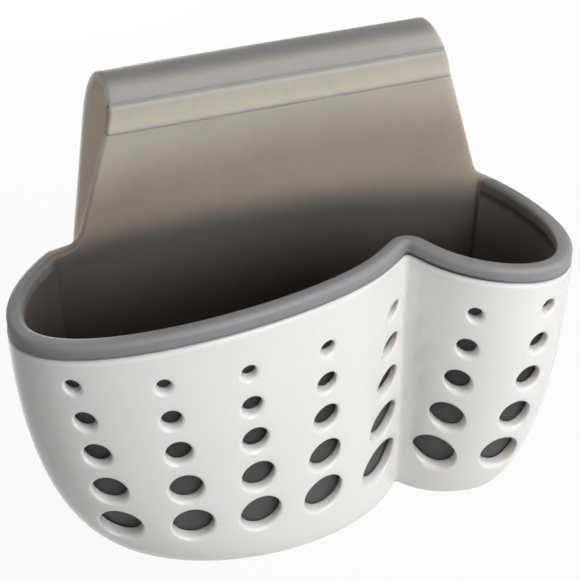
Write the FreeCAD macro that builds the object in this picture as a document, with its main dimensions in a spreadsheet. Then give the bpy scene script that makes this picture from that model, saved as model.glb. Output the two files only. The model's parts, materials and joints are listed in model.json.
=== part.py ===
import FreeCAD, Part
import math
import os
import Sketcher

# A two-compartment sink caddy: a rigid perforated shell with two bowl-shaped lobes, a soft liner that
# drops into it, and a wide saddle strap of the liner's own moulding that folds over a sink divider.
# Millimetres. Origin on the base in the middle of the width, +X along the width, -Y to the front, +Z up.

V = FreeCAD.Vector
doc = FreeCAD.newDocument("sink_caddy")
sheet = doc.addObject("Spreadsheet::Sheet", "Sizes")
sheet_rows = []


def size(alias, value):
    """Put one driving size on the sheet and hand its value back."""
    sheet_rows.append(alias)
    row = len(sheet_rows)
    sheet.set("A%d" % row, alias)
    sheet.set("B%d" % row, str(value))
    sheet.setAlias("B%d" % row, alias)
    return float(value)


# Whole form: the two lobes share a flat back and an arched top edge.
half_width = size("half_width", 94.0)
back_y = size("back_y", 36.0)
crest_height = size("crest_height", 95.2)
arch_radius = size("arch_radius", 446.0)
crease_round = size("crease_round", 1.2)
overrun = size("overrun", 4.0)

# Walls, from the outside in.
shell_wall = size("shell_wall", 3.2)
liner_play = size("liner_play", 0.3)
liner_wall = size("liner_wall", 2.0)
floor_play = size("floor_play", 0.4)

# Crease between the lobes, at the top edge and at the base.
crease_x = size("crease_x", 33.86)
crease_y = size("crease_y", -10.51)
crease_base_x = size("crease_base_x", 35.35)
crease_base_y = size("crease_base_y", -5.0)

# Large lobe: from its outer end to its foremost point, at the top edge and at the base.
large_end_length = size("large_end_length", 62.1)
large_front_y = size("large_front_y", -34.4)
large_end_y = size("large_end_y", 1.2)
large_back_past = size("large_back_past", 10.6)
large_base_end_length = size("large_base_end_length", 42.6)
large_base_front_y = size("large_base_front_y", -25.2)
large_end_inset = size("large_end_inset", 38.9)

# Small lobe, in the same way.
small_end_length = size("small_end_length", 28.5)
small_front_y = size("small_front_y", -37.3)
small_end_y = size("small_end_y", -0.8)
small_back_past = size("small_back_past", 10.9)
small_base_end_length = size("small_base_end_length", 6.3)
small_base_front_y = size("small_base_front_y", -17.9)
small_end_inset = size("small_end_inset", 30.7)

# Holes in the shell's wall, five rows that grow downwards. All are drawn out of the mould in one direction.
pull_deg = size("pull_deg", -14.0)
pull_dip_deg = size("pull_dip_deg", 13.0)
hole_round = size("hole_round", 1.2)
rim_turn_deg = size("rim_turn_deg", 66.0)
lip_round = size("lip_round", 0.8)
row_1_bore = size("row_1_bore", 4.75)
row_2_bore = size("row_2_bore", 6.6)
row_3_bore = size("row_3_bore", 8.4)
row_4_bore = size("row_4_bore", 10.85)
row_5_bore = size("row_5_bore", 13.3)

# Drain holes in both floors.
drain_bore = size("drain_bore", 6.0)
drain_y = size("drain_y", 6.0)
drain_set_in = size("drain_set_in", 9.1)

# Liner: the bead that covers the shell's top edge, and a flat foot under its floor.
bead_height = size("bead_height", 5.0)
bead_set_in = size("bead_set_in", 0.3)
bead_play = size("bead_play", 0.3)
bead_outer_round = size("bead_outer_round", 1.6)
bead_inner_round = size("bead_inner_round", 1.4)
foot_set_in = size("foot_set_in", 13.1)
foot_depth = size("foot_depth", 16.0)

# Saddle strap.
strap_x = size("strap_x", 8.8)
strap_thick = size("strap_thick", 4.0)
strap_proud = size("strap_proud", 0.05)
fold_shoulder = size("fold_shoulder", 34.0)
crown_shoulder = size("crown_shoulder", 38.0)
strap_flare_deg = size("strap_flare_deg", 16.5)
strap_foot_round = size("strap_foot_round", 9.0)
strap_sink = size("strap_sink", 0.3)
strap_set_in = size("strap_set_in", 1.2)
strap_edge_round = size("strap_edge_round", 1.1)
crown_radius = size("crown_radius", 13.0)
crown_rise = size("crown_rise", 40.8)
fold_drop = size("fold_drop", 2.4)
upper_fold_deg = size("upper_fold_deg", 31.0)
fold_web = size("fold_web", 1.0)
fold_half_gap = size("fold_half_gap", 0.45)
flap_drop = size("flap_drop", 45.2)
flap_flare_deg = size("flap_flare_deg", 7.8)
flap_corner_round = size("flap_corner_round", 12.0)
doc.recompute()

# Shares of the way from the top edge down to the base at which the bowl has a cross-section.
depth_shares = (0.0, 0.11, 0.22, 0.33, 0.44, 0.55, 0.66, 0.76, 0.85, 0.92, 0.97, 1.0)
# How the inward sweep of the wall grows with that depth: a slight draft, then a rounding to the base.
draft_share = 0.04
round_power = 2.5
# Part of each lobe's quarter turn towards its neighbour that is curved, and how far it runs on straight.
large_turn_share = 0.6
large_run_share = 0.1645
large_base_run_share = 0.0877
small_turn_share = 0.7
small_run_share = 0.1953
small_base_run_share = 0.1294

# Heights and half widths that follow from the sizes.
crown_height = crest_height + crown_rise
fold_height = crown_height - fold_drop
flap_end_height = crest_height - flap_drop
fold_half = half_width - fold_shoulder


def sweep_share(depth):
    """Share of the whole inward sweep that the wall has made at a share of the depth."""
    rounding = 1.0 - math.sqrt(max(0.0, 1.0 - depth ** round_power))
    return draft_share * depth + (1.0 - draft_share) * rounding


def between(top, base, share):
    return top + (base - top) * share


def ellipse_arc(centre, reach_x, reach_y, start, stop):
    """One elliptic arc, angles in radians, as an exact rational curve."""
    half = (stop - start) / 2.0
    middle = (start + stop) / 2.0
    ends = []
    for angle in (start, stop):
        ends.append(centre + V(reach_x * math.cos(angle), reach_y * math.sin(angle), 0))
    bend = V(reach_x * math.cos(middle), reach_y * math.sin(middle), 0) * (1.0 / math.cos(half))
    curve = Part.BezierCurve()
    curve.setPoles([ends[0], centre + bend, ends[1]])
    curve.setWeight(2, math.cos(half))
    return curve.toShape()


class Lobe:
    """Plan of one lobe: a rounded outer end, a front, and a turn towards the crease."""

    def __init__(self, side, end_lengths, end_inset, fronts, run_shares, end_y, back_past, turn_share):
        self.side = side
        self.end_y = end_y
        self.end_inset = end_inset
        self.back_reach = back_y - end_y + back_past
        self.turn = math.pi / 2 * turn_share
        self.levels = []
        creases = ((crease_x, crease_y), (crease_base_x, crease_base_y))
        insets = (0.0, end_inset)
        for length, inset, front_y, run, crease in zip(end_lengths, insets, fronts, run_shares, creases):
            front_x = side * (half_width - inset - length)
            along = math.sin(self.turn) + run * math.cos(self.turn)
            across = 1.0 - math.cos(self.turn) + run * math.sin(self.turn)
            turn_length = side * (front_x - crease[0]) / along
            turn_depth = (crease[1] - front_y) / across
            self.levels.append((length, front_x, front_y, turn_length, turn_depth))

    def edges(self, inset, height, share, past=0.0):
        """Edges from the back, or from past it, to the turn's end, and the way in which the turn runs on."""
        length, front_x, front_y, turn_length, turn_depth = [
            between(top, base, share) for top, base in zip(*self.levels)]
        front_y += inset
        turn_length -= inset
        turn_depth -= inset
        reach = length - inset
        rear_reach = self.back_reach - inset
        rear_turn = math.asin((back_y + past - inset - self.end_y) / rear_reach)
        axis = V(front_x, self.end_y, height)
        rear = ellipse_arc(axis, self.side * reach, rear_reach, rear_turn, 0.0)
        outer = ellipse_arc(axis, self.side * reach, self.end_y - front_y, 0.0, -math.pi / 2)
        inner = ellipse_arc(V(front_x, front_y + turn_depth, height), -self.side * turn_length,
                            turn_depth, -math.pi / 2, self.turn - math.pi / 2)
        way = V(-self.side * turn_length * math.cos(self.turn), turn_depth * math.sin(self.turn), 0)
        return [rear, outer, inner], way


large = Lobe(-1.0, (large_end_length, large_base_end_length), large_end_inset,
             (large_front_y, large_base_front_y), (large_run_share, large_base_run_share),
             large_end_y, large_back_past, large_turn_share)
small = Lobe(1.0, (small_end_length, small_base_end_length), small_end_inset,
             (small_front_y, small_base_front_y), (small_run_share, small_base_run_share),
             small_end_y, small_back_past, small_turn_share)


def crease_point(left, left_way, right, right_way):
    """Where the two lobes' turns meet when they run on straight."""
    left_end = left[-1].lastVertex().Point
    right_end = right[-1].lastVertex().Point
    reach = (right_end - left_end).cross(right_way).z / left_way.cross(right_way).z
    return left_end + left_way * reach


def plan_wire(inset, height, share, past):
    """Closed section of both lobes, drawn inside the outer face by the inset."""
    left, left_way = large.edges(inset, height, share, past)
    right, right_way = small.edges(inset, height, share, past)
    crease = crease_point(left, left_way, right, right_way)
    opening = left_way.getAngle(right_way)
    tangent = (crease_round + inset) / math.tan(opening / 2.0)
    round_start = crease - V(left_way).normalize() * tangent
    round_end = crease - V(right_way).normalize() * tangent
    fold = Part.BezierCurve()
    fold.setPoles([round_start, crease, round_end])
    fold.setWeight(2, math.sin(opening / 2.0))
    edges = list(left)
    edges.append(Part.makeLine(left[-1].lastVertex().Point, round_start))
    edges.append(fold.toShape())
    edges.append(Part.makeLine(round_end, right[-1].lastVertex().Point))
    edges.extend(reversed(right))
    edges.append(Part.makeLine(right[0].firstVertex().Point, left[0].firstVertex().Point))
    return Part.Wire(edges)


def bowl_form(name, inset, floor_height, past=0.0):
    """Solid of both lobes drawn in by the inset, from its floor to the height of the strap's crown."""
    wires = [plan_wire(inset, crown_height, 0.0, past)]
    for depth in depth_shares:
        height = crest_height - (crest_height - floor_height) * depth
        wires.append(plan_wire(inset, height, sweep_share(depth), past))
    form = doc.addObject("Part::Feature", name)
    form.Shape = Part.makeLoft(wires, True, False)
    return form


def arch_block(name, lift):
    """Cylinder up to the flat back whose upper side is the arched top edge, raised by the lift."""
    block = doc.addObject("Part::Cylinder", name)
    block.setExpression("Radius", "Sizes.arch_radius + " + lift)
    block.setExpression("Height", "2 * Sizes.half_width + Sizes.back_y")
    block.setExpression("Placement.Base.y", "-2 * Sizes.half_width")
    block.setExpression("Placement.Base.z", "Sizes.crest_height - Sizes.arch_radius")
    block.Placement.Rotation = FreeCAD.Rotation(V(1, 0, 0), -90)
    return block


def joined(kind, name, base, tool):
    """One Part boolean of two objects."""
    result = doc.addObject(kind, name)
    result.Base = base
    result.Tool = tool
    return result


def rounded(name, base, edge_rounds):
    """Part fillet of the numbered edges, each with its own radius."""
    result = doc.addObject("Part::Fillet", name)
    result.Base = base
    result.Edges = [(number, radius, radius) for number, radius in edge_rounds]
    return result


def drain_cutter():
    """Upright pins through both floors, one for each drain hole."""
    pins = []
    top = shell_wall + floor_play + liner_wall + overrun
    pitch = (half_width - large_end_inset - drain_set_in) / 2.0
    for step in (-2, -1, 0, 1, 2):
        foot_point = V(step * pitch, drain_y, -overrun)
        pins.append(Part.makeCylinder(drain_bore / 2.0, top + overrun, foot_point))
    cutter = doc.addObject("Part::Feature", "drain_cutter")
    cutter.Shape = Part.makeCompound(pins)
    return cutter


# Shell: a rigid moulded bowl, open at the top, with its top edge cut to the arch and its back cut flat.
outer_form = bowl_form("outer_form", 0.0, 0.0)
shell_form = bowl_form("shell_form", 0.0, 0.0, past=overrun)
inner_form = bowl_form("inner_form", shell_wall, shell_wall)
top_cut = arch_block("top_cut", "0")
drains = drain_cutter()
shell_wall_body = joined("Part::Cut", "shell_wall_body", shell_form, inner_form)
shell_arched = joined("Part::Common", "shell_arched", shell_wall_body, top_cut)
shell_drained = joined("Part::Cut", "shell_drained", shell_arched, drains)
doc.recompute()

# Five rows of holes, as shares of the height, with their bores. The columns stand at shares of the way
# from a lobe's outer end to the crease, in the top and in the bottom row, and hang lower by shares of
# the height in these two rows.
row_shares = (0.831, 0.699, 0.562, 0.4065, 0.2385)
row_bores = (row_1_bore, row_2_bore, row_3_bore, row_4_bore, row_5_bore)
large_column_shares = ((0.099, 0.115, 0.008, 0.004), (0.295, 0.296, 0.001, 0.002), (0.5, 0.486, 0.0, 0.003),
                       (0.716, 0.684, 0.003, 0.014), (0.944, 0.897, 0.016, 0.031))
small_column_shares = ((0.754, 0.846, -0.003, 0.023), (0.359, 0.46, -0.003, 0.012))


def row_span(lobe, row_share):
    """Where the lobe's outer end and the crease stand at the height of a row."""
    sweep = sweep_share(1.0 - row_share)
    crease = crease_point(*large.edges(0.0, 0.0, sweep), *small.edges(0.0, 0.0, sweep))
    return lobe.side * (half_width - lobe.end_inset * sweep), crease.x


def wall_point(x, z):
    """Point of the outer face straight in front of a place, the outward normal and the mean curvature."""
    ray = Part.makeLine(V(x, -2.0 * half_width, z), V(x, 0, z))
    inside = outer_form.Shape.common(ray)
    spot = min((vertex.Point for vertex in inside.Vertexes), key=lambda point: point.y)
    face = min(outer_form.Shape.Faces, key=lambda f: f.distToShape(Part.Vertex(spot))[0])
    u, v = face.Surface.parameter(spot)
    return spot, face.normalAt(u, v), abs(sum(face.curvatureAt(u, v))) / 2.0


def hole_tool(spot, normal, curvature, radius):
    """Round pin along the pull whose outer end flares onto the wall, so that its hole has a rounded rim."""
    turn = math.radians(rim_turn_deg)
    depth = 3.0 * shell_wall + overrun
    bend = []
    for angle in (0.0, turn / 2.0, turn):
        reach = radius + hole_round * (1.0 - math.cos(angle))
        bend.append(V(reach, 0, hole_round * (math.sin(angle) - 1.0)))
    mouth = V(bend[2].x + (hole_round - bend[2].z) * math.tan(turn), 0, hole_round)
    outline = [
        Part.makeLine(V(0, 0, -depth), V(radius, 0, -depth)),
        Part.makeLine(V(radius, 0, -depth), bend[0]),
        Part.Arc(*bend).toShape(),
        Part.makeLine(bend[2], mouth),
        Part.makeLine(mouth, V(mouth.x, 0, overrun)),
        Part.makeLine(V(mouth.x, 0, overrun), V(0, 0, overrun)),
        Part.makeLine(V(0, 0, overrun), V(0, 0, -depth)),
    ]
    tool = Part.Face(Part.Wire(outline)).revolve(V(0, 0, 0), V(0, 0, 1), 360)
    turned_pull = FreeCAD.Rotation(pull_deg, 0, pull_dip_deg)
    pull = turned_pull.multVec(V(0, -1, 0))
    across = turned_pull.multVec(V(1, 0, 0))
    up = turned_pull.multVec(V(0, 0, 1))
    # The rim of a hole in a curved wall lies a little behind the wall's foremost point.
    facing = normal.dot(pull)
    rim = spot - pull * (curvature * radius ** 2 / 2.0 / facing)
    # The flare leans with the wall while the pin keeps to the pull.
    across -= pull * (normal.dot(across) / facing)
    up -= pull * (normal.dot(up) / facing)
    lean = FreeCAD.Matrix(across.x, up.x, pull.x, rim.x, across.y, up.y, pull.y, rim.y,
                          across.z, up.z, pull.z, rim.z)
    return tool.transformGeometry(lean)


pins = []
spots = []
for lobe, column_shares in ((large, large_column_shares), (small, small_column_shares)):
    top_span = row_span(lobe, row_shares[0])
    bottom_span = row_span(lobe, row_shares[-1])
    for top_share, bottom_share, top_drop_share, bottom_drop_share in column_shares:
        top_x = between(*top_span, top_share)
        bottom_x = between(*bottom_span, bottom_share)
        for row_share, bore in zip(row_shares, row_bores):
            down = (row_shares[0] - row_share) / (row_shares[0] - row_shares[-1])
            height = crest_height * (row_share - between(top_drop_share, bottom_drop_share, down))
            spot, normal, curvature = wall_point(between(top_x, bottom_x, down), height)
            pins.append(hole_tool(spot, normal, curvature, bore / 2.0))
            spots.append(spot)
hole_cutter = doc.addObject("Part::Feature", "hole_cutter")
hole_cutter.Shape = Part.makeCompound(pins)
shell_holed = joined("Part::Cut", "shell_holed", shell_drained, hole_cutter)
doc.recompute()


def on_arch(edge, lift):
    """Whether an edge lies on the arched top, raised by the lift."""
    for share in (0.0, 0.3, 0.5, 0.8, 1.0):
        point = edge.valueAt(between(edge.FirstParameter, edge.LastParameter, share))
        reach = math.hypot(point.x, point.z - crest_height + arch_radius)
        if abs(reach - arch_radius - lift) > liner_play / 10.0:
            return False
    return True


def far_out(edge, inset):
    """Whether an edge lies within the inset of the shell's outer face, rather than further in."""
    point = edge.valueAt(between(edge.FirstParameter, edge.LastParameter, 0.5))
    return outer_form.Shape.Shells[0].distToShape(Part.Vertex(point))[0] < inset


def along_back(edge):
    """Whether an edge runs along the flat back."""
    point = edge.valueAt(between(edge.FirstParameter, edge.LastParameter, 0.5))
    return point.y > back_y - bead_play / 2.0


edge_rounds = []
for number, edge in enumerate(shell_holed.Shape.Edges, 1):
    if on_arch(edge, 0.0) and far_out(edge, shell_wall / 2.0) and not along_back(edge):
        edge_rounds.append((number, lip_round))
shell = rounded("shell", shell_holed, edge_rounds)
shell.Label = "shell"

# Saddle strap: it rises from the liner's back, folds at two moulded grooves and hangs down behind.
# Every section is drawn in the plane across the strap's width, front face towards -Y.
front = "(Sizes.back_y - Sizes.shell_wall - Sizes.liner_play - Sizes.liner_wall - Sizes.strap_proud)"
rear = "(" + front + " + Sizes.strap_thick)"
crown_y = "(" + front + " + Sizes.crown_radius)"
crown_z = "(Sizes.crest_height + Sizes.crown_rise)"
fold_z = "(" + crown_z + " - Sizes.fold_drop)"
flap_end_z = "(Sizes.crest_height - Sizes.flap_drop)"
fold_reach_x = "(Sizes.half_width - Sizes.fold_shoulder)"
crown_reach_x = "(Sizes.half_width - Sizes.crown_shoulder)"
crown_inside = "(Sizes.crown_radius - Sizes.strap_thick)"
fold_reach = "(" + crown_inside + " + Sizes.fold_web)"
fold_turn = "(Sizes.upper_fold_deg * 1 deg)"
gap_turn = "(Sizes.fold_half_gap / Sizes.crown_radius * 1 rad)"


def on_crown(reach, turn):
    """Corner at a reach from the crown's axis and a turn up from its front."""
    return (crown_y + " - " + reach + " * cos(" + turn + ")",
            crown_z + " + " + reach + " * sin(" + turn + ")")


def sketch_on(body, name, role):
    """Empty sketch on one of the body's own origin planes."""
    sketch = body.newObject("Sketcher::SketchObject", name)
    plane = [item for item in body.Origin.OriginFeatures if item.Role == role][0]
    sketch.AttachmentSupport = [(plane, "")]
    sketch.MapMode = "FlatFace"
    return sketch


def bind(sketch, kind, *where, expression):
    """Add one dimension to a sketch and bind it to the sheet."""
    value = float(FreeCAD.Units.Quantity(sketch.evalExpression(expression)).Value)
    if kind == "Angle":
        value = math.radians(value)
    number = sketch.addConstraint(Sketcher.Constraint(kind, *where, value))
    sketch.setExpression("Constraints[%d]" % number, expression)


def turned(centre, radius, turns):
    """Arc about a centre from one turn to the next."""
    return Part.ArcOfCircle(Part.Circle(centre, V(0, 0, 1), radius), *turns)


def draw(sketch, corners, bends):
    """Closed outline through bound corners. A bend is the radius and sense of the arc after a corner."""
    places = []
    for across, up in corners:
        x = float(FreeCAD.Units.Quantity(sketch.evalExpression(across)).Value)
        y = float(FreeCAD.Units.Quantity(sketch.evalExpression(up)).Value)
        places.append(V(x, y, 0))
    starts = []
    stops = []
    for number, start in enumerate(places):
        stop = places[(number + 1) % len(places)]
        if number not in bends:
            edge = sketch.addGeometry(Part.LineSegment(start, stop), False)
            starts.append((edge, 1))
            stops.append((edge, 2))
            continue
        radius_name, sense = bends[number]
        radius = float(FreeCAD.Units.Quantity(sketch.evalExpression(radius_name)).Value)
        chord = stop - start
        rise = math.sqrt(max(0.0, radius ** 2 - (chord.Length / 2.0) ** 2))
        centre = (start + stop) * 0.5 + V(-chord.y, chord.x, 0).normalize() * (rise * sense)
        first, last = (start, stop) if sense > 0 else (stop, start)
        turn_start = math.atan2(first.y - centre.y, first.x - centre.x)
        turn_stop = math.atan2(last.y - centre.y, last.x - centre.x)
        edge = sketch.addGeometry(turned(centre, radius, (turn_start, turn_stop)), False)
        starts.append((edge, 1 if sense > 0 else 2))
        stops.append((edge, 2 if sense > 0 else 1))
        bind(sketch, "Radius", edge, expression=radius_name)
    for number, (across, up) in enumerate(corners):
        edge, end = starts[number]
        last_edge, last_end = stops[number - 1]
        sketch.addConstraint(Sketcher.Constraint("Coincident", last_edge, last_end, edge, end))
        bind(sketch, "DistanceX", -1, 1, edge, end, expression=across)
        bind(sketch, "DistanceY", -1, 1, edge, end, expression=up)


def strap_piece(name, corners, bends):
    """Body with a section of the strap drawn out to the strap's greatest width."""
    body = doc.addObject("PartDesign::Body", name)
    body.Label = name
    body.setExpression("Placement.Base.x", "Sizes.strap_x")
    section = sketch_on(body, name + "_section", "YZ_Plane")
    draw(section, corners, bends)
    pad = body.newObject("PartDesign::Pad", name + "_pad")
    pad.Profile = section
    pad.setExpression("Length", "4 * Sizes.half_width")
    pad.Midplane = True
    doc.recompute()
    return body


def side_cut(body, name, outline):
    """Take away what lies outside an outline seen from the front."""
    sketch = sketch_on(body, name, "XZ_Plane")
    reach = "(3 * Sizes.half_width)"
    top = "(" + crown_z + " + 2 * Sizes.crown_radius)"
    draw(sketch, [("-" + reach, "-" + top), (reach, "-" + top), (reach, top), ("-" + reach, top)], {})
    outline(sketch)
    cut = body.newObject("PartDesign::Pocket", name + "_pocket")
    cut.Profile = sketch
    cut.Type = "ThroughAll"
    cut.Midplane = True
    doc.recompute()
    return cut


band_bends = {2: (crown_inside, -1), 5: ("Sizes.crown_radius", 1)}
band = strap_piece("strap_band", [
    (rear + " - Sizes.fold_web", fold_z),
    (rear, fold_z),
    (rear, crown_z),
    on_crown(crown_inside, fold_turn),
    on_crown(fold_reach, fold_turn),
    on_crown("Sizes.crown_radius", "(" + fold_turn + " - " + gap_turn + ")"),
    (front, crown_z),
    (front, fold_z + " + Sizes.fold_half_gap"),
], band_bends)
flap_front = "(" + crown_y + " + " + crown_inside + ")"
flap_back = "(" + crown_y + " + Sizes.crown_radius)"
hook = strap_piece("strap_hook", [
    on_crown(fold_reach, fold_turn),
    on_crown("Sizes.crown_radius", "(" + fold_turn + " + " + gap_turn + ")"),
    (flap_back, crown_z),
    (flap_back, flap_end_z),
    (flap_front, flap_end_z),
    (flap_front, crown_z),
    on_crown(crown_inside, fold_turn),
], {1: ("Sizes.crown_radius", -1), 5: (crown_inside, 1)})

# Outline of the strap above the lower fold and of the flap behind, seen from the front.
crown_top = "(" + crown_z + " + Sizes.crown_radius + Sizes.overrun)"
flap_lean = "(Sizes.flap_flare_deg * 1 deg)"
flap_half = "(" + fold_reach_x + " + (" + fold_z + " - " + flap_end_z + ") * tan(" + flap_lean + "))"
corner_run = "(Sizes.flap_corner_round / tan(45 deg - " + flap_lean + " / 2))"
corner_inner = "(" + flap_half + " - " + corner_run + ")"
corner_outer = "(" + flap_half + " - " + corner_run + " * sin(" + flap_lean + "))"
corner_height = "(" + flap_end_z + " + " + corner_run + " * cos(" + flap_lean + "))"
upper_outline = [
    ("-" + corner_inner, flap_end_z),
    (corner_inner, flap_end_z),
    (corner_outer, corner_height),
    (fold_reach_x, fold_z),
    (crown_reach_x, crown_top),
    ("-" + crown_reach_x, crown_top),
    ("-" + fold_reach_x, fold_z),
    ("-" + corner_outer, corner_height),
]
corner_bends = {1: ("Sizes.flap_corner_round", 1), 7: ("Sizes.flap_corner_round", 1)}


def upper_sides(sketch):
    """Outline of everything above the lower fold."""
    draw(sketch, upper_outline, corner_bends)


def panel_sides(sketch):
    """Outline of the front panel: flared sides, a concave round at each foot, and the bead's arch."""
    arch = V(-strap_x, crest_height - arch_radius, 0)
    upper = arch_radius + bead_play + bead_height - strap_sink
    lower = arch_radius + bead_play + bead_height / 2.0
    lean = math.radians(strap_flare_deg)
    tops = []
    drops = []
    for side in (-1, 1):
        top_half = fold_half - overrun * math.tan(lean)
        top = V(side * top_half, fold_height + overrun, 0)
        way = V(side * math.sin(lean), -math.cos(lean), 0)
        out = V(side * math.cos(lean), math.sin(lean), 0) * strap_foot_round
        start = top + out - arch
        along = start.dot(way)
        run = -along - math.sqrt(along ** 2 - start.dot(start) + (upper + strap_foot_round) ** 2)
        centre = top + out + way * run
        foot_turn = math.atan2(-out.y, -out.x)
        arch_turn = math.atan2(arch.y - centre.y, arch.x - centre.x)
        landing = arch + (centre - arch).normalize() * upper
        landing_turn = math.atan2(landing.y - arch.y, landing.x - arch.x)
        end_turn = math.acos((landing.x + side * overrun / 2.0 - arch.x) / upper)
        end = arch + V(math.cos(end_turn), math.sin(end_turn), 0) * upper
        low = V(end.x, arch.y + math.sqrt(lower ** 2 - (end.x - arch.x) ** 2), 0)
        # An arc runs counter-clockwise, so its near and far ends change places from side to side.
        sign = "-" if side < 0 else ""
        near, far = (2, 1) if side < 0 else (1, 2)
        foot_turns = (arch_turn, foot_turn) if side < 0 else (foot_turn, arch_turn)
        flare = sketch.addGeometry(Part.LineSegment(top, top + way * run), False)
        foot = sketch.addGeometry(turned(centre, strap_foot_round, foot_turns), False)
        landed = sketch.addGeometry(turned(arch, upper, sorted((landing_turn, end_turn))), False)
        drop = sketch.addGeometry(Part.LineSegment(end, low), False)
        sketch.addConstraint(Sketcher.Constraint("Tangent", flare, 2, foot, near))
        sketch.addConstraint(Sketcher.Constraint("Tangent", foot, far, landed, far))
        sketch.addConstraint(Sketcher.Constraint("Coincident", landed, near, drop, 1))
        sketch.addConstraint(Sketcher.Constraint("Vertical", drop))
        top_reach = "(" + fold_reach_x + " - Sizes.overrun * tan(Sizes.strap_flare_deg * 1 deg))"
        bind(sketch, "DistanceX", -1, 1, flare, 1, expression=sign + top_reach)
        bind(sketch, "DistanceY", -1, 1, flare, 1, expression=fold_z + " + Sizes.overrun")
        lean_turn = "-90 deg " + ("- " if side < 0 else "+ ") + "Sizes.strap_flare_deg * 1 deg"
        bind(sketch, "Angle", flare, expression=lean_turn)
        bind(sketch, "Radius", foot, expression="Sizes.strap_foot_round")
        bind(sketch, "Radius", landed,
             expression="Sizes.arch_radius + Sizes.bead_play + Sizes.bead_height - Sizes.strap_sink")
        bind(sketch, "DistanceX", -1, 1, landed, 3, expression="-Sizes.strap_x")
        bind(sketch, "DistanceY", -1, 1, landed, 3, expression="Sizes.crest_height - Sizes.arch_radius")
        bind(sketch, "DistanceX", foot, far, drop, 1, expression=sign + "Sizes.overrun / 2")
        tops.append((flare, top))
        drops.append((drop, low))
    ridge = sketch.addGeometry(Part.LineSegment(tops[0][1], tops[1][1]), False)
    sketch.addConstraint(Sketcher.Constraint("Coincident", ridge, 1, tops[0][0], 1))
    sketch.addConstraint(Sketcher.Constraint("Coincident", ridge, 2, tops[1][0], 1))
    sole_turns = [math.atan2(low.y - arch.y, low.x - arch.x) for drop, low in reversed(drops)]
    sole = sketch.addGeometry(turned(arch, lower, sole_turns), False)
    sketch.addConstraint(Sketcher.Constraint("Coincident", sole, 1, drops[1][0], 2))
    sketch.addConstraint(Sketcher.Constraint("Coincident", sole, 2, drops[0][0], 2))
    bind(sketch, "Radius", sole, expression="Sizes.arch_radius + Sizes.bead_play + Sizes.bead_height / 2")
    bind(sketch, "DistanceX", -1, 1, sole, 3, expression="-Sizes.strap_x")
    bind(sketch, "DistanceY", -1, 1, sole, 3, expression="Sizes.crest_height - Sizes.arch_radius")


def strap_side(point):
    """Which face of the strap a point lies on: 1 for the outer, -1 for the inner, 0 for neither."""
    front_y = back_y - shell_wall - liner_play - liner_wall - strap_proud
    axis_y = front_y + crown_radius
    if point.z > crown_height:
        depth = crown_radius - math.hypot(point.y - axis_y, point.z - crown_height)
    elif point.y > axis_y:
        depth = axis_y + crown_radius - point.y
    else:
        depth = point.y - front_y
    if abs(depth) < liner_play / 10.0:
        return 1
    if abs(depth - strap_thick) < liner_play / 10.0:
        return -1
    return 0


def soft_edges(body, last_height):
    """Names of the strap's long edges, and of those across its end at the last height."""
    names = []
    for number, edge in enumerate(body.Shape.Edges, 1):
        points = [edge.valueAt(between(edge.FirstParameter, edge.LastParameter, share))
                  for share in (0.0, 0.25, 0.5, 0.75, 1.0)]
        sides = [strap_side(point) for point in points]
        middle = points[2]
        arch_reach = math.hypot(middle.x, middle.z - crest_height + arch_radius)
        sunk = middle.y < back_y and arch_reach < arch_radius + bead_play + bead_height
        across = abs(points[-1].x - points[0].x) > 0.99 * edge.Length
        at_end = all(abs(point.z - last_height) < liner_play / 10.0 for point in points)
        if abs(sum(sides)) == len(sides) and (at_end or not across) and not sunk:
            names.append("Edge%d" % number)
    return names


def soften(body, name, last_height):
    """Round the strap's long edges."""
    tip = body.Tip
    names = soft_edges(body, last_height)
    fillet = body.newObject("PartDesign::Fillet", name)
    fillet.Base = (tip, names)
    fillet.setExpression("Radius", "Sizes.strap_edge_round")
    doc.recompute()
    return fillet


side_cut(band, "band_sides", upper_sides)
soften(band, "band_soft", 0.0)
side_cut(hook, "hook_sides", upper_sides)
soften(hook, "hook_soft", flap_end_height)

# Front panel of the strap, moulded on the liner: it flares into the bead with a round at each foot.
panel = strap_piece("front_panel", [
    (front, "Sizes.crest_height - Sizes.arch_radius / 10"),
    (rear, "Sizes.crest_height - Sizes.arch_radius / 10"),
    (rear, fold_z),
    (rear + " - Sizes.fold_web", fold_z),
    (front, fold_z + " - Sizes.fold_half_gap"),
], {})
side_cut(panel, "panel_sides", panel_sides)
soften(panel, "panel_soft", 0.0)
corner_form = bowl_form("corner_form", strap_set_in, 0.0)
panel_trimmed = joined("Part::Common", "panel_trimmed", panel, corner_form)

# Liner: a soft cup with a bead round its top, a flat foot on the shell's floor, and the strap's panel.
bead_form = bowl_form("bead_form", bead_set_in, 0.0)
bead_top = arch_block("bead_top", "Sizes.bead_play + Sizes.bead_height")
bead_under = arch_block("bead_under", "Sizes.bead_play")
bead_raised = joined("Part::Common", "bead_raised", bead_form, bead_top)
bead = joined("Part::Cut", "bead", bead_raised, bead_under)
cup_form = bowl_form("cup_form", shell_wall + liner_play, shell_wall + floor_play)
cup_top = arch_block("cup_top", "Sizes.bead_play + Sizes.bead_height / 2")
cup = joined("Part::Common", "cup", cup_form, cup_top)
liner_block = joined("Part::Fuse", "liner_block", bead, cup)
hollow_form = bowl_form("hollow_form", shell_wall + liner_play + liner_wall,
                        shell_wall + floor_play + liner_wall)
liner_open = joined("Part::Cut", "liner_open", liner_block, hollow_form)
doc.recompute()

edge_rounds = []
for number, edge in enumerate(liner_open.Shape.Edges, 1):
    if on_arch(edge, bead_play + bead_height):
        outside = far_out(edge, shell_wall / 2.0)
        edge_rounds.append((number, bead_outer_round if outside else bead_inner_round))
liner_rounded = rounded("liner_rounded", liner_open, edge_rounds)

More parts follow.
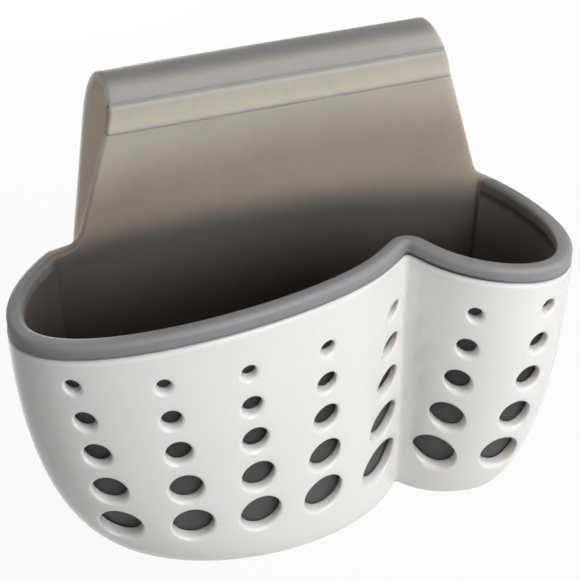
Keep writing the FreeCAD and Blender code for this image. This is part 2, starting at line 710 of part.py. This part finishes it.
foot = doc.addObject("Part::Box", "foot")
foot_half = "(Sizes.half_width - Sizes.large_end_inset - Sizes.foot_set_in)"
foot.setExpression("Length", "2 * " + foot_half)
foot.setExpression("Width", "Sizes.foot_depth")
foot.setExpression("Height", "Sizes.floor_play + Sizes.liner_wall / 2")
foot.setExpression("Placement.Base.x", "-" + foot_half)
foot.setExpression("Placement.Base.y", "Sizes.drain_y - Sizes.foot_depth / 2")
foot.setExpression("Placement.Base.z", "Sizes.shell_wall")
liner_footed = joined("Part::Fuse", "liner_footed", liner_rounded, foot)
liner_strapped = joined("Part::Fuse", "liner_strapped", liner_footed, panel_trimmed)
liner = joined("Part::Cut", "liner", liner_strapped, drains)
liner.Label = "liner"
doc.recompute()

# Nothing is written unless every object is sound and every wall hole is open.
for item in doc.Objects:
    if "Invalid" in item.State or "Error" in item.State:
        raise RuntimeError("not sound: " + item.Name)
needles = Part.makeCompound([Part.makeLine(spot, spot + V(0, shell_wall, 0)) for spot in spots])
if shell.Shape.common(needles).Edges:
    raise RuntimeError("a wall hole is closed")
os.makedirs("parts", exist_ok=True)
for node in (shell, liner, band, hook):
    if node.Shape.isNull() or not node.Shape.isValid() or len(node.Shape.Solids) != 1:
        raise RuntimeError("no sound solid: " + node.Label)
    node.Shape.exportStep("parts/" + node.Label + ".step")
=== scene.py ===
import json
import math

import bmesh
import bpy
from mathutils import Matrix, Vector


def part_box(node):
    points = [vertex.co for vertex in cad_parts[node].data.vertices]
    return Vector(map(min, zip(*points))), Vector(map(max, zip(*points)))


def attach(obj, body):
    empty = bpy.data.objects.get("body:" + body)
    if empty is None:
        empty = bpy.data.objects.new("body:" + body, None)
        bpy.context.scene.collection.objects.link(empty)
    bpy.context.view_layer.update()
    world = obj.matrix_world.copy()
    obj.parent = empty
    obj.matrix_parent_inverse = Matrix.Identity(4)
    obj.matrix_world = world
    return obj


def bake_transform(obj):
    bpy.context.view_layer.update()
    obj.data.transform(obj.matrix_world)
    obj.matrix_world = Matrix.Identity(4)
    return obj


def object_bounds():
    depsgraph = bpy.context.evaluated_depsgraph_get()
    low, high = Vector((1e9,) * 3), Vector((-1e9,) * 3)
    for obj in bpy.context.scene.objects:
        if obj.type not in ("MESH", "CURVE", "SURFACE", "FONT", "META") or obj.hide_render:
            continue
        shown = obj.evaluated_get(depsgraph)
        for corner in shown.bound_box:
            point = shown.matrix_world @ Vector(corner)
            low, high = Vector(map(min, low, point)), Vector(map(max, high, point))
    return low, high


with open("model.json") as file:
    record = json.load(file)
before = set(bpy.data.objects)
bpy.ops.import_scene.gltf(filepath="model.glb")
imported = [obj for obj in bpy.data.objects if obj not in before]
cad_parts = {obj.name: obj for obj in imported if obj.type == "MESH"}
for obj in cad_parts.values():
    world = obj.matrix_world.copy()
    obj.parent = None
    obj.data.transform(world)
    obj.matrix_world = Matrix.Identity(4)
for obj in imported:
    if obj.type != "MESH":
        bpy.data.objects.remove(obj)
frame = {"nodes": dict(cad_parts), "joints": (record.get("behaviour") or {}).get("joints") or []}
cad_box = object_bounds()

# Shell: the rigid outer bowl, injection moulded in glossy white plastic in one shot. The wall holes are
# formed in the mould, with rounded outer rims. It stands on its flat base and carries the liner.
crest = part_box("shell")[1].z
arch_radius = 0.446
lip_edge = (-0.0021, -0.0009)
low_white = (0.80, 0.79, 0.765, 1.0)
high_white = (0.84, 0.833, 0.815, 1.0)
lip_highlight = (0.92, 0.915, 0.90, 1.0)
least_gloss = 0.11
gloss_spread = 0.08

# A colour Mix node's sockets go by number, because its other kinds have sockets of the same names.
mix_factor = 0
mix_low = 6
mix_high = 7
mix_result = 2


class Field:
    """One socket of a finish. Arithmetic on it adds Math nodes, and node() adds any other node."""

    def __init__(self, tree, socket=None):
        self.tree = tree
        self.socket = socket

    def node(self, kind, settings, sockets, output=0):
        """One output of a new node: its settings are set first, then its sockets' values or links."""
        new = self.tree.nodes.new(kind)
        for name, value in settings.items():
            setattr(new, name, value)
        for name, value in sockets.items():
            if isinstance(value, Field):
                value.feed(new, name)
            else:
                new.inputs[name].default_value = value
        return Field(self.tree, new.outputs[output])

    def feed(self, node, name):
        """Link this field to a node's input."""
        self.tree.links.new(self.socket, node.inputs[name])

    def outputs(self):
        """All the outputs of the node that this field comes from, by name."""
        return {output.name: Field(self.tree, output) for output in self.socket.node.outputs}

    def maths(self, operation, *values):
        return self.node("ShaderNodeMath", {"operation": operation}, dict(enumerate(values)))

    def __add__(self, other):
        return self.maths("ADD", self, other)

    def __sub__(self, other):
        return self.maths("SUBTRACT", self, other)

    def __rsub__(self, other):
        return self.maths("SUBTRACT", other, self)

    def __mul__(self, other):
        return self.maths("MULTIPLY", self, other)

    __radd__ = __add__
    __rmul__ = __mul__

    def mix(self, low, high):
        """Colour that goes from low to high as this field goes from 0 to 1."""
        sockets = {mix_factor: self, mix_low: low, mix_high: high}
        return self.node("ShaderNodeMix", {"data_type": "RGBA"}, sockets, mix_result)

    def step(self, low, high):
        """Smooth step of this field from 0 at low to 1 at high."""
        return self.node("ShaderNodeMapRange", {"interpolation_type": "SMOOTHSTEP"},
                         {"Value": self, "From Min": low, "From Max": high})


def finish_of(name):
    """New material, its shader, and the place of a spot on the piece, from which its other fields grow."""
    material = bpy.data.materials.new(name)
    material.use_nodes = True
    place = Field(material.node_tree).node("ShaderNodeTexCoord", {}, {}, "Object")
    return material, material.node_tree.nodes["Principled BSDF"], place


def noise(place, scale, detail, roughness=0.5):
    """Cloudy field between 0 and 1. Its scale counts clouds in a metre."""
    return place.node("ShaderNodeTexNoise", {}, {"Vector": place, "Scale": scale, "Detail": detail,
                                                 "Roughness": roughness})


def bumped(height, distance, strength):
    """Normal of a surface that a height field roughens."""
    return height.node("ShaderNodeBump", {}, {"Height": height, "Distance": distance, "Strength": strength})


def scatter(shader, reach, travel):
    """Let light wander inside the material: reach is a distance, and travel its share for each colour."""
    shader.inputs["Subsurface Weight"].default_value = 1.0
    shader.inputs["Subsurface Radius"].default_value = travel
    shader.inputs["Subsurface Scale"].default_value = reach


def along_axes(vector):
    """The three coordinates of a vector field."""
    coordinates = vector.node("ShaderNodeSeparateXYZ", {}, {"Vector": vector}).outputs()
    return [coordinates[axis] for axis in "XYZ"]


def above_arch(x, z):
    """How far a spot lies above the shell's arched top edge."""
    return z - crest + arch_radius - x.maths("SQRT", arch_radius ** 2 - x * x)


def dress(node, material):
    """Give a carried-over node its finish."""
    slots = frame["nodes"][node].data.materials
    slots.clear()
    slots.append(material)


shell_white, shader, place = finish_of("shell_white")
x, _, z = along_axes(place)
cloud = noise(place, scale=26.0, detail=3.0)
peel = noise(place, scale=700.0, detail=1.0)
wall = cloud.mix(low_white, high_white)
# The shell's lip, just under its top edge, is paler: a painted highlight where the rounded lip faces up.
above_arch(x, z).step(*lip_edge).mix(wall, lip_highlight).feed(shader, "Base Color")
(least_gloss + cloud * gloss_spread).feed(shader, "Roughness")
bumped(peel, distance=0.00002, strength=0.25).feed(shader, "Normal")
scatter(shader, reach=0.004, travel=(1.0, 0.88, 0.76))
dress("shell", shell_white)

# Liner: a soft cup moulded in grey elastomer that lets some light through, with a rounded bead on the
# shell's top edge and the strap's front panel rising from its back. It drops in loose. Each pair of values
# below is the stretch over which one colour passes into the next.
# Painted shade of the cup, inside and out, with painted light at its small end.
outer_foot_shade = (0.078, 0.076, 0.076, 1.0)
outer_top_shade = (0.024, 0.023, 0.023, 1.0)
deep_shade = (0.066, 0.062, 0.060, 1.0)
lit_deep_end = (0.140, 0.124, 0.112, 1.0)
rim_shade = (0.102, 0.084, 0.077, 1.0)
lit_rim_end = (0.270, 0.238, 0.215, 1.0)
small_end = (0.030, 0.072)
below_rim = (-0.022, -0.002)
outer_climb = (0.024, 0.056)
back_half = (0.004, 0.012)
front_facing = (-0.05, -0.35)


def cup_paint(x, y, z, above, facing_back):
    """Painted shade. Inside: browner at the rim, painted light at the small end. Outside: grey foot, darker
    higher.
    """
    end = x.step(*small_end)
    inside = above.step(*below_rim).mix(end.mix(deep_shade, lit_deep_end), end.mix(rim_shade, lit_rim_end))
    outside = z.step(*outer_climb).mix(outer_foot_shade, outer_top_shade)
    outer = facing_back.step(*front_facing) * (1.0 - y.step(*back_half))
    return outer.mix(inside, outside)


bead_grey = (0.275, 0.281, 0.290, 1.0)
# Painted shade at the back of the bead, and a painted shadow along its foot.
bead_back_shade = (0.165, 0.165, 0.166, 1.0)
bead_shadow = (0.105, 0.088, 0.074, 1.0)
gap_shadow = (0.014, 0.012, 0.011, 1.0)
bead_depth = (-0.015, 0.025)
bead_foot = (0.0004, 0.0013)
gap_start = (0.029, 0.034)
gap_end = (0.042, 0.062)
gap_rise = 0.0004


def bead_paint(x, y, above):
    """Cool grey, with painted shade at the back and a painted shadow at its foot, blackest beside the crease.
    """
    gap = x.step(*gap_start) * (1.0 - x.step(*gap_end))
    foot = gap.mix(bead_shadow, gap_shadow)
    round_top = y.step(*bead_depth).mix(bead_grey, bead_back_shade)
    return (above - gap * gap_rise).step(*bead_foot).mix(foot, round_top)


folds = {joint["name"]: Vector(joint["pos_m"]) for joint in frame["joints"] if joint.get("pos_m")}
# The strap's colours below are painted light and shade, with painted highlights under the grooves; only the
# flap's beige is its own colour.
strap_shaded_left = (0.310, 0.262, 0.218, 1.0)
strap_shaded_low = (0.356, 0.305, 0.258, 1.0)
strap_backlit_high = (0.500, 0.453, 0.394, 1.0)
band_lit_low = (0.620, 0.560, 0.484, 1.0)
band_lit_high = (0.442, 0.402, 0.349, 1.0)
groove_highlight = (0.540, 0.495, 0.436, 1.0)
crown_lit_front = (0.478, 0.448, 0.406, 1.0)
crown_shaded_top = (0.255, 0.255, 0.250, 1.0)
flap_beige = (0.405, 0.376, 0.358, 1.0)
left_side = (-0.055, -0.015)
strap_climb = (0.018, 0.041)
strap_slant = 0.05
flap_turn = (0.0440, 0.0535)

# Stretches of the strap's front, as heights above the lower fold.
fold_edge = (-0.0005, 0.0001)
band_climb = (0.0001, 0.0089)
crown_edge = (0.0083, 0.0090)
crown_turn = (0.0124, 0.0153)
fold_line = ((-0.0015, -0.0008), (-0.0006, -0.0004))
crown_line = ((0.0072, 0.0080), (0.0084, 0.0087))
line_share = 0.6


def highlight_line(height, start, end):
    """Thin painted highlight across the strap, just below a groove."""
    return height.step(*start) * (1.0 - height.step(*end))


def strap_paint(x, y, z, above):
    """Warm: painted light up to the band, painted shade to the left and greyer over the crown, beige flap
    behind.
    """
    height = z - folds["lower_fold"].z
    panel = x.step(*left_side).mix(strap_shaded_left, strap_shaded_low)
    panel = (above - x * strap_slant).step(*strap_climb).mix(panel, strap_backlit_high)
    band = height.step(*band_climb).mix(band_lit_low, band_lit_high)
    front = height.step(*fold_edge).mix(panel, band)
    front = height.step(*crown_edge).mix(front, crown_lit_front)
    front = height.step(*crown_turn).mix(front, crown_shaded_top)
    lines = highlight_line(height, *fold_line) + highlight_line(height, *crown_line)
    front = (lines * line_share).mix(front, groove_highlight)
    return y.step(*flap_turn).mix(front, flap_beige)


# Painted shadow on the back wall, where the shell blocks the light from behind.
panel_deep_shadow = (0.048, 0.040, 0.034, 1.0)
panel_rim_shadow = (0.128, 0.114, 0.104, 1.0)
far_left = (-0.085, -0.035)
behind_shell = (-0.034, 0.0)
light_edge = (-0.0033, 0.0107)
light_slant = 0.045
strap_back = (0.036, 0.040)


def panel_paint(x, y, z, above):
    """Back wall and strap: painted shadow where the shell stands behind it, and the strap's painted light
    above that.
    """
    dim = x.step(*far_left).mix(rim_shade, panel_rim_shadow)
    dark = above.step(*behind_shell).mix(panel_deep_shadow, dim)
    light = (above + x * light_slant).step(*light_edge)
    clear = light.maths("MAXIMUM", light, y.step(*strap_back))
    return clear.mix(dark, strap_paint(x, y, z, above))


bead_edge = (-0.003, 0.0004)
wall_front = (0.0285, 0.0300)
mottle_dark = (0.87, 0.87, 0.87, 1.0)
mottle_light = (1.13, 1.13, 1.13, 1.0)
speck_share = 0.5
least_satin = 0.42
satin_spread = 0.12


def soft_moulding(name, reach):
    """Grey elastomer: painted shade in the cup, cool on the bead, warm with painted light through the strap.
    """
    material, shader, place = finish_of(name)
    x, y, z = along_axes(place)
    above = above_arch(x, z)
    facing_back = along_axes(place.node("ShaderNodeTexCoord", {}, {}, "Normal"))[1]
    cup = cup_paint(x, y, z, above, facing_back)
    cup = above.step(*bead_edge).mix(cup, bead_paint(x, y, above))
    colour = y.step(*wall_front).mix(cup, panel_paint(x, y, z, above))
    mottle = noise(place, scale=90.0, detail=4.0, roughness=0.6)
    specks = noise(place, scale=420.0, detail=3.0, roughness=0.6)
    grain = noise(place, scale=1800.0, detail=2.0)
    patches = mottle * (1.0 - speck_share) + specks * speck_share
    cloudy = patches.mix(mottle_dark, mottle_light)
    clouded = place.node("ShaderNodeMix", {"data_type": "RGBA", "blend_type": "MULTIPLY"},
                         {mix_factor: 1.0, mix_low: colour, mix_high: cloudy}, mix_result)
    clouded.feed(shader, "Base Color")
    (least_satin + mottle * satin_spread).feed(shader, "Roughness")
    bumped(grain, distance=0.00003, strength=0.3).feed(shader, "Normal")
    scatter(shader, reach, travel=(1.0, 0.93, 0.84))
    shader.inputs["Specular IOR Level"].default_value = 0.35
    return material


dress("liner", soft_moulding("liner_soft", reach=0.012))

# Gate mark: the small round stub, low on the strap's panel, where the soft material entered the mould. It
# is one with the liner, trimmed short, with a slightly rounded edge.
gate_place = (-0.0475, 0.03065, 0.0970)
gate_radius = 0.0009
gate_length = 0.0008
gate_round = 0.00012
to_front = Matrix.Rotation(math.radians(90.0), 3, "X")


def shaped(name, work, material):
    """Object made from a finished bmesh."""
    mesh = bpy.data.meshes.new(name)
    work.to_mesh(mesh)
    work.free()
    mesh.materials.append(material)
    piece = bpy.data.objects.new(name, mesh)
    bpy.context.scene.collection.objects.link(piece)
    return piece


work = bmesh.new()
bmesh.ops.create_cone(work, cap_ends=True, segments=32, radius1=gate_radius, radius2=gate_radius,
                      depth=gate_length)
bmesh.ops.bevel(work, geom=work.edges[:], offset=gate_round, offset_type="OFFSET", affect="EDGES", segments=2,
                profile=0.5, material=-1)
bmesh.ops.rotate(work, cent=(0.0, 0.0, 0.0), matrix=to_front, verts=work.verts)
bmesh.ops.translate(work, vec=gate_place, verts=work.verts)
mark = shaped("gate_mark", work, soft_moulding("gate_soft", reach=0.0003))
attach(mark, "liner")

# Strap band: the strip between the two fold grooves, of the liner's own moulding. Only the thin skin under
# the grooves joins it to the panel below and to the crown above, so it can tilt between them.
band_soft = soft_moulding("band_soft", reach=0.003)
dress("strap_band", band_soft)

# Strap hook: the rounded crown that lies on a sink's divider, and the flap that hangs down behind it. It is
# again of the liner's own moulding, and joins the band at the upper fold.
dress("strap_hook", soft_moulding("hook_soft", reach=0.020))

# Fold webs: the thin skin left under each groove, where the strap bends. It is one with the panel, the
# band and the crown, so here it fills the foot of each groove.
root_depth = 0.00095
root_half = 0.0008
waist_half = 0.0005
rib_depth = 0.00255
rib_half = 0.0004


def fold_web(name, centre, lean_deg, half_width):
    """Strip across the strap: a broad root at the back, and a narrow rib that stops short of the front."""
    lean = math.radians(lean_deg)
    outward = Vector((0.0, -math.cos(lean), math.sin(lean)))
    along = Vector((0.0, math.sin(lean), math.cos(lean)))
    outline = ((-root_depth, -root_half), (-root_depth, root_half), (0.0, waist_half),
               (rib_depth, rib_half), (rib_depth, -rib_half), (0.0, -waist_half))
    work = bmesh.new()
    rim = []
    for depth, side in outline:
        spot = centre + outward * depth + along * side
        rim.append(work.verts.new((centre.x - half_width, spot.y, spot.z)))
    face = work.faces.new(rim)
    drawn = bmesh.ops.extrude_face_region(work, geom=[face])["geom"]
    moved = [item for item in drawn if isinstance(item, bmesh.types.BMVert)]
    bmesh.ops.translate(work, vec=(2.0 * half_width, 0.0, 0.0), verts=moved)
    bmesh.ops.recalc_face_normals(work, faces=work.faces)
    web = shaped(name, work, band_soft)
    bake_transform(web)


fold_web("lower_fold_web", folds["lower_fold"], lean_deg=0.0, half_width=0.0595)
fold_web("upper_fold_web", folds["upper_fold"], lean_deg=31.0, half_width=0.058)

# Floor and light: a plain white floor and large soft lamps in a white studio. One lamp stands behind the
# strap and shines through it, and the floor throws less light back on the left than on the right.
white = (1.0, 1.0, 1.0, 1.0)
left_floor = (0.37, 0.37, 0.37, 1.0)
right_floor = (0.66, 0.66, 0.66, 1.0)
floor_turn = (-0.14, 0.16)
floor_half = 4.0
floor_gap = 0.0003
floor_glow = 0.94


def seen_rays(field):
    """1 for rays that show a surface, straight, in gloss or through glass, and 0 for those that light it."""
    rays = field.node("ShaderNodeLightPath", {}, {}).outputs()
    seen = field.maths("MAXIMUM", rays["Is Camera Ray"], rays["Is Glossy Ray"])
    return field.maths("MAXIMUM", seen, rays["Is Transmission Ray"])


floor_white, shader, place = finish_of("floor_white")
x = along_axes(place)[0]
x.step(*floor_turn).mix(left_floor, right_floor).feed(shader, "Base Color")
shader.inputs["Roughness"].default_value = 0.9
lit = Field(place.tree, shader.outputs["BSDF"])
glow = place.node("ShaderNodeEmission", {}, {"Color": white, "Strength": 1.0})
surface = place.node("ShaderNodeMixShader", {}, {0: seen_rays(place) * floor_glow, 1: lit, 2: glow})
surface.feed(place.tree.nodes["Material Output"], "Surface")
work = bmesh.new()
bmesh.ops.create_grid(work, x_segments=1, y_segments=1, size=floor_half)
bmesh.ops.translate(work, vec=(0.0, 0.0, cad_box[0][2] - floor_gap), verts=work.verts)
floor = shaped("floor", work, floor_white)

ambient_level = 0.295
ambient_slope = 0.18
slope_end = 0.15
world = bpy.data.worlds.new("studio")
bpy.context.scene.world = world
world.use_nodes = True
aim = Field(world.node_tree).node("ShaderNodeTexCoord", {}, {}, "Generated")
x = along_axes(aim)[0]
ambient = ambient_level + x.maths("MINIMUM", x, slope_end) * ambient_slope
background = world.node_tree.nodes["Background"]
background.inputs["Color"].default_value = white
(ambient + seen_rays(aim) * (1.0 - ambient)).feed(background, "Strength")


def softbox(name, place, aim, size, power):
    """Square soft lamp that faces a point."""
    data = bpy.data.lights.new(name, "AREA")
    data.size = size
    data.energy = power
    lamp = bpy.data.objects.new(name, data)
    lamp.location = place
    lamp.rotation_euler = (Vector(aim) - Vector(place)).to_track_quat("-Z", "Y").to_euler()
    bpy.context.scene.collection.objects.link(lamp)


softbox("key", place=(0.26, -0.77, 0.54), aim=(0.0, 0.0, 0.06), size=0.6, power=6.3)
softbox("behind", place=(0.0088, 0.62, 0.13), aim=(0.0088, 0.04, 0.10), size=0.24, power=1.9)
softbox("low", place=(0.17, -0.85, 0.06), aim=(0.04, 0.0, 0.04), size=0.3, power=1.25)

# Camera: at the photo's own viewing angle, from the left and above, with a long lens. Its place, direction
# and focal length are those at which the object's outlines fall where the photo has them.
photo_width = 580.0
focal_pixels = 1760.0
sensor_width = 36.0
camera_place = (-0.18862, -0.44694, 0.37351)
camera_direction = Vector((0.3301, 0.7918, -0.5140))
view = bpy.data.cameras.new("camera")
view.sensor_fit = "HORIZONTAL"
view.sensor_width = sensor_width
view.lens = sensor_width * focal_pixels / photo_width
view.clip_start = 0.01
camera = bpy.data.objects.new("camera", view)
camera.location = camera_place
camera.rotation_euler = camera_direction.to_track_quat("-Z", "Y").to_euler()
bpy.context.scene.collection.objects.link(camera)
bpy.context.scene.camera = camera
bpy.context.scene.view_settings.view_transform = "Standard"
